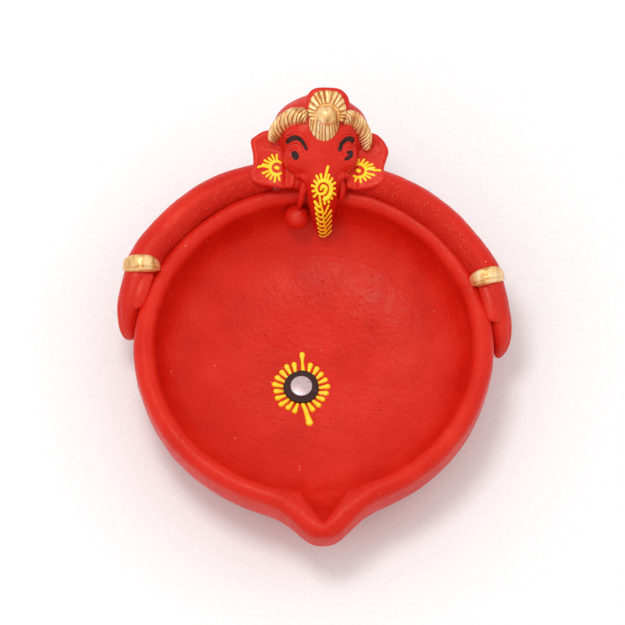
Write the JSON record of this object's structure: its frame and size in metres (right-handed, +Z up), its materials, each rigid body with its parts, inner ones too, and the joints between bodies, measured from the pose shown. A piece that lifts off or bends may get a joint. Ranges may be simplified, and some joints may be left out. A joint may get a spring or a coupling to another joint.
{
  "type": "diya oil lamp",
  "caption": "Painted clay oil lamp bowl with a pinched wick spout, held by an elephant figure with a crown, bangles and a mirror on the floor",
  "frame": {"origin": "the middle of the flat foot that the lamp rests on", "axes": "+Z up, the wick spout points to -Y, the elephant's head is at +Y"},
  "size_m": [0.1434, 0.1667, 0.067],
  "materials": {
    "red_clay": "satin bright red paint over rough clay",
    "gold_paint": "brushed metallic gold paint over clay",
    "dark_paint": "matte black-brown paint",
    "yellow_paint": "raised glossy yellow cone-drawn paint",
    "mirror": "small craft mirror, slightly dull"
  },
  "bodies": {
    "root": {"bowl": "red_clay", "head": "red_clay", "trunk": "red_clay", "ear_left": "red_clay", "ear_right": "red_clay", "tusk_left": "red_clay", "tusk_right": "red_clay", "brow_left": "dark_paint", "brow_right": "dark_paint", "eye_left": "dark_paint", "eye_right": "dark_paint", "crown_crest": "red_clay", "crown_fan_upper": "gold_paint", "crown_fan_lower": "gold_paint", "crown_boss": "gold_paint", "headband_left": "gold_paint", "headband_right": "gold_paint", "arm_left": "red_clay", "arm_right": "red_clay", "bangle_left": "gold_paint", "bangle_right": "gold_paint", "hand_left": "red_clay", "hand_right": "red_clay", "thumb_left": "red_clay", "thumb_right": "red_clay", "sweet_ball": "red_clay", "mirror_bed": "dark_paint", "mirror_disc": "mirror"}
  },
  "joints": []
}
